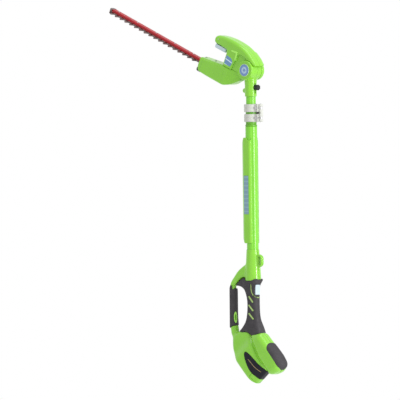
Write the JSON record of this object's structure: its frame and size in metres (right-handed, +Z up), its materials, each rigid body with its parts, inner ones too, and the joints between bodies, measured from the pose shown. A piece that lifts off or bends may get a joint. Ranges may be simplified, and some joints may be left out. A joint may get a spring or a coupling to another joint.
{
  "type": "pole hedge trimmer",
  "caption": "Battery pole hedge trimmer with a telescopic pole, a tilting motor head and a double reciprocating blade.",
  "frame": {"origin": "centre of the rear grip, on the pole's axis", "axes": "+Z up the pole, -X the way the blade points, -Y the tool's left side, which carries the badge"},
  "size_m": [0.8987, 0.0772, 1.4708],
  "materials": {
    "green_plastic": "glossy lime green moulding",
    "pole_tube": "lime green gloss coating",
    "grip_rubber": "finely textured overmould",
    "black_plastic": "fine spark texture",
    "black_gloss": "polished",
    "grey_plastic": "pale grey moulding",
    "core_plastic": "darker green moulding",
    "steel": "machined",
    "dark_steel": "ground, dark",
    "red_rail": "dark red coating",
    "blue_label": "printed film",
    "badge_blue": "domed gloss",
    "circuit_board": "solder resist",
    "contact_brass": "plain",
    "cell_wrap": "shrink wrapped cells"
  },
  "bodies": {
    "handle": {"handle_shell_left": "green_plastic", "handle_shell_right": "green_plastic", "rear_grip": "grip_rubber", "front_grip": "grip_rubber", "rear_bumper": "grip_rubber", "housing_screws": "steel", "power_switch": "black_plastic", "control_board": "circuit_board", "battery_contacts": "contact_brass", "trigger_pin": "steel", "lower_tube": "pole_tube", "spine_cover": "green_plastic", "pole_label": "blue_label", "clamp_core": "core_plastic", "clamp_band_lower": "grey_plastic", "clamp_band_upper": "grey_plastic", "clamp_bolts": "steel", "clamp_pin": "steel", "coiled_lead": "grip_rubber"},
    "trigger": {"trigger": "black_plastic"},
    "lock_off_button": {"lock_off_button": "grey_plastic"},
    "clamp_lever": {"clamp_lever": "grey_plastic"},
    "battery": {"battery_case": "black_plastic", "battery_panel_left": "black_gloss", "battery_panel_right": "black_gloss", "battery_cells": "cell_wrap"},
    "battery_release": {"battery_release": "black_plastic"},
    "upper_pole": {"upper_tube": "pole_tube", "slide_bush": "black_plastic", "yoke_left": "green_plastic", "yoke_right": "green_plastic", "yoke_screw": "steel", "pivot_bolt": "steel", "pivot_badge": "badge_blue", "spring_seat": "black_plastic", "release_spring": "steel", "neck_lead": "grip_rubber"},
    "tilt_release": {"tilt_release": "black_plastic"},
    "head": {"motor_shell_left": "green_plastic", "motor_shell_right": "green_plastic", "nose_housing": "green_plastic", "index_plate": "steel", "motor_can": "steel", "field_magnets": "dark_steel", "motor_plate": "steel", "vent_grille": "grey_plastic", "head_label": "blue_label", "crank_bearings": "steel", "head_screws": "steel", "blade_rail": "red_rail", "blade_bolts": "dark_steel", "rail_tip": "dark_steel"},
    "rotor": {"rotor": "steel", "cooling_fan": "black_plastic"},
    "drive": {"drive_gear": "steel", "crank_shaft": "steel"},
    "cutter_upper": {"cutter_upper": "dark_steel", "upper_teeth": "dark_steel"},
    "cutter_lower": {"cutter_lower": "dark_steel", "lower_teeth": "dark_steel"}
  },
  "joints": [
    {"name": "trigger_pull", "type": "hinge", "parent": "handle", "child": "trigger", "pos_m": [-0.013, 0, 0.09], "axis": [0, -1, 0], "range_deg": [0, 6], "stiffness_Nm_per_rad": 0.5, "springref_deg": -8},
    {"name": "lock_off_press", "type": "slide", "parent": "handle", "child": "lock_off_button", "axis": [-1, 0, 0], "range_m": [0, 0.0025], "stiffness_N_per_m": 500, "springref_m": -0.002},
    {"name": "clamp_lever_swing", "type": "hinge", "parent": "handle", "child": "clamp_lever", "pos_m": [0.035, 0.017, 0.744], "axis": [0, 0, -1], "range_deg": [0, 110]},
    {"name": "battery_slide", "type": "slide", "parent": "handle", "child": "battery", "axis": [0.6428, 0, -0.766], "range_m": [0, 0.16]},
    {"name": "battery_release_press", "type": "slide", "parent": "battery", "child": "battery_release", "axis": [-0.6428, 0, 0.766], "range_m": [0, 0.003], "stiffness_N_per_m": 500, "springref_m": -0.002},
    {"name": "pole_slide", "type": "slide", "parent": "handle", "child": "upper_pole", "axis": [0, 0, 1], "range_m": [0, 0.4], "deforming": ["coiled_lead"]},
    {"name": "tilt_release_pull", "type": "slide", "parent": "upper_pole", "child": "tilt_release", "axis": [0, 0, -1], "range_m": [0, 0.008], "stiffness_N_per_m": 800, "springref_m": -0.002, "deforming": ["release_spring"]},
    {"name": "head_tilt", "type": "hinge", "parent": "upper_pole", "child": "head", "pos_m": [0, 0, 0.909], "axis": [0, 1, 0], "range_deg": [-22, 66]},
    {"name": "drive_turn", "type": "hinge", "parent": "head", "child": "drive", "pos_m": [-0.11374, 0, 0.95964], "axis": [0.4067, 0, 0.9135], "continuous": true},
    {"name": "rotor_turn", "type": "hinge", "parent": "head", "child": "rotor", "pos_m": [-0.08405, 0, 0.94642], "axis": [0.4067, 0, 0.9135], "continuous": true},
    {"name": "cutter_stroke", "type": "slide", "parent": "head", "child": "cutter_upper", "axis": [-0.9135, 0, 0.4067], "range_m": [-0.008, 0.008]},
    {"name": "lower_cutter_stroke", "type": "slide", "parent": "head", "child": "cutter_lower", "axis": [-0.9135, 0, 0.4067], "range_m": [-0.008, 0.008]}
  ],
  "couplings": [
    {"joint": "rotor_turn", "follows": "drive_turn", "ratio": -3.3333},
    {"joint": "lower_cutter_stroke", "follows": "cutter_stroke", "ratio": -1}
  ]
}
